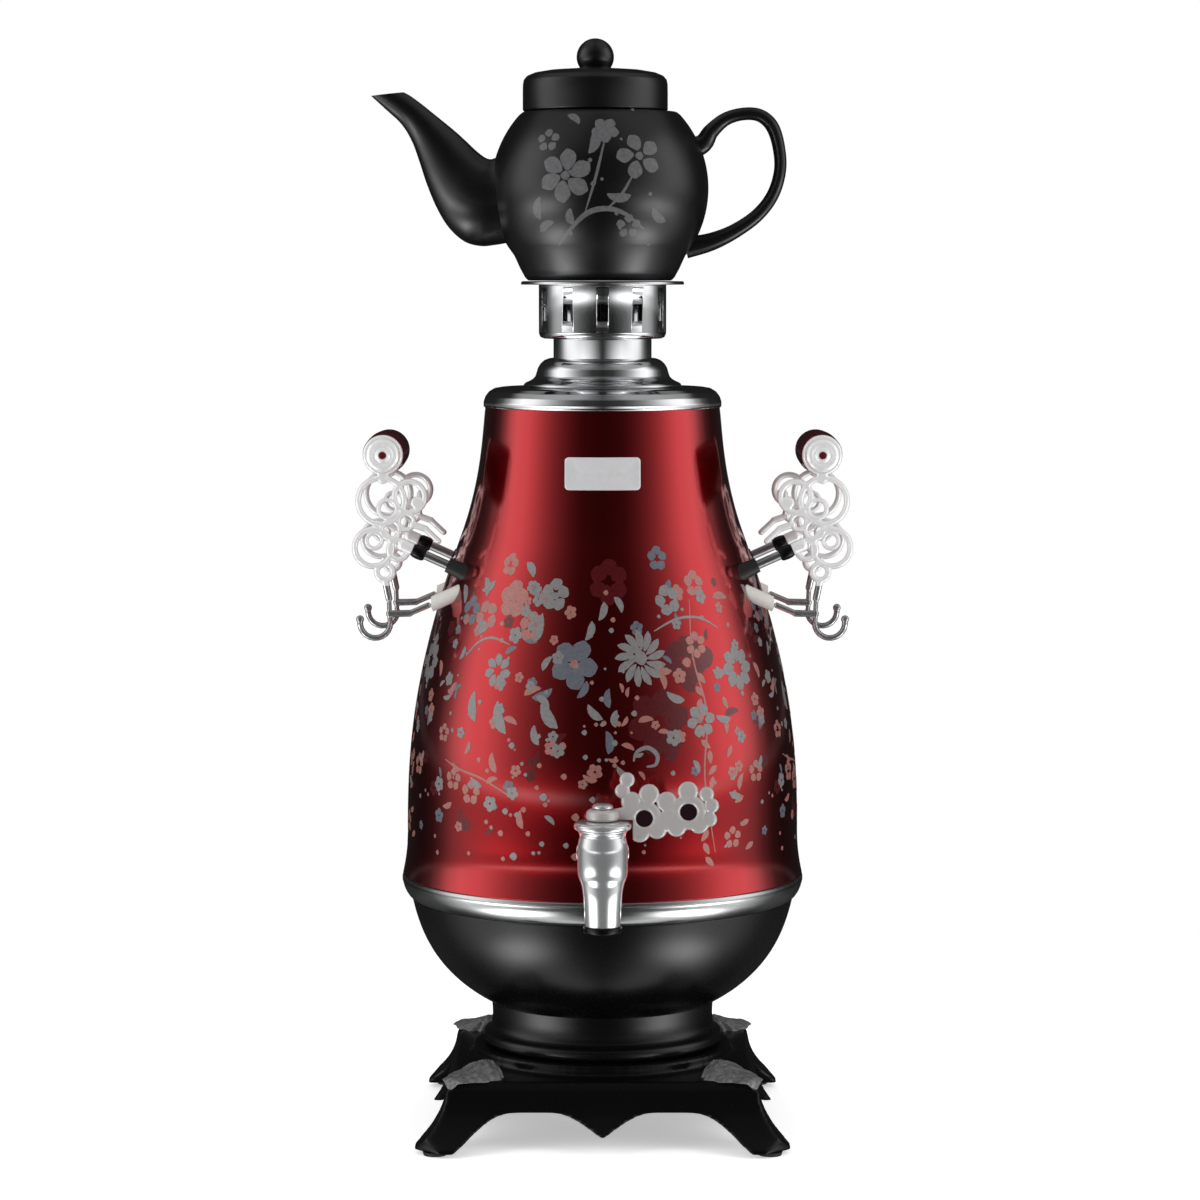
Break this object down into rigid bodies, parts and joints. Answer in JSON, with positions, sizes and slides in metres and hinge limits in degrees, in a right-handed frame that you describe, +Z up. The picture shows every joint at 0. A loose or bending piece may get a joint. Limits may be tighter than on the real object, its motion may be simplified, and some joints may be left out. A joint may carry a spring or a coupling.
{
  "type": "samovar",
  "caption": "Electric samovar: pear-shaped tank on a footed stand, front tap with lace key, two scroll handles, vented crown lid and a teapot on top.",
  "frame": {"origin": "on the floor under the middle of the body", "axes": "+Z up along the body, -Y to the front where the tap is, +X to the right seen from the front"},
  "size_m": [0.2744, 0.2632, 0.6033],
  "materials": {
    "satin_black": "satin",
    "chrome_plate": "mirror",
    "cast_chrome": "bright plated casting",
    "pad_rubber": "matte",
    "black_plastic": "matte",
    "gloss_black_plastic": "gloss",
    "brass": "satin",
    "steel": "brushed",
    "red_lacquer": "metallic lacquer with a floral print",
    "silver_plate": "satin",
    "silicone": "matte",
    "white_ceramic": "matte",
    "lead_sleeve": "matte",
    "black_glaze": "gloss glaze with a floral print",
    "dark_red_plastic": "gloss"
  },
  "bodies": {
    "root": {"base_stand": "satin_black", "corner_leaves": "satin_black", "pedestal_collar": "satin_black", "base_bowl": "satin_black", "foot_pads": "pad_rubber", "trim_band": "chrome_plate", "rear_housing": "black_plastic", "power_inlet": "black_plastic", "inlet_blades": "brass", "rocker_pin": "steel", "body_shell": "red_lacquer", "rim_ring": "chrome_plate", "name_plate": "silver_plate", "tank_bottom": "steel", "bowl_gasket": "silicone", "heating_element": "steel", "heater_nuts": "brass", "thermostat": "black_plastic", "thermal_cutout": "white_ceramic", "terminal_block": "white_ceramic", "heater_leads": "lead_sleeve", "tie_rod": "steel", "tie_nut": "steel", "tap_body": "chrome_plate", "tap_nozzle": "gloss_black_plastic", "tap_bonnet": "chrome_plate", "tap_gasket": "silicone", "tap_lock_nut": "steel", "bracket_left_front": "cast_chrome", "bracket_left_rear": "cast_chrome", "bracket_right_front": "cast_chrome", "bracket_right_rear": "cast_chrome", "grip_left": "dark_red_plastic", "grip_right": "dark_red_plastic", "grip_caps": "chrome_plate", "grip_rods": "steel", "handle_studs": "steel", "stud_spacers": "black_plastic", "stud_beads": "black_plastic", "stud_tank_nuts": "steel", "arm_pads": "silicone", "leaf_screws": "steel"},
    "samovar_lid": {"lid_dome": "chrome_plate", "lid_gasket": "silicone", "lid_neck": "chrome_plate", "crown_ring": "chrome_plate", "crown_plate": "chrome_plate"},
    "teapot": {"teapot_body": "black_glaze", "teapot_spout": "black_glaze", "teapot_handle": "black_glaze"},
    "teapot_lid": {"teapot_lid": "black_glaze"},
    "tap_key": {"tap_plug": "brass", "tap_key": "chrome_plate", "key_screw": "chrome_plate"},
    "rocker": {"rocker_switch": "gloss_black_plastic"}
  },
  "joints": [
    {"name": "lid_lift", "type": "slide", "parent": "root", "child": "samovar_lid", "axis": [0, 0, 1], "range_m": [0, 0.08]},
    {"name": "teapot_lift", "type": "slide", "parent": "samovar_lid", "child": "teapot", "axis": [0, 0, 1], "range_m": [0, 0.1]},
    {"name": "teapot_lid_lift", "type": "slide", "parent": "teapot", "child": "teapot_lid", "axis": [0, 0, 1], "range_m": [0, 0.06]},
    {"name": "key_turn", "type": "hinge", "parent": "root", "child": "tap_key", "pos_m": [0, -0.136, 0.168], "axis": [0, 0, 1], "range_deg": [-90, 0]},
    {"name": "rocker_tilt", "type": "hinge", "parent": "root", "child": "rocker", "pos_m": [-0.018, 0.103, 0.097], "axis": [1, 0, 0], "range_deg": [0, 18]}
  ]
}
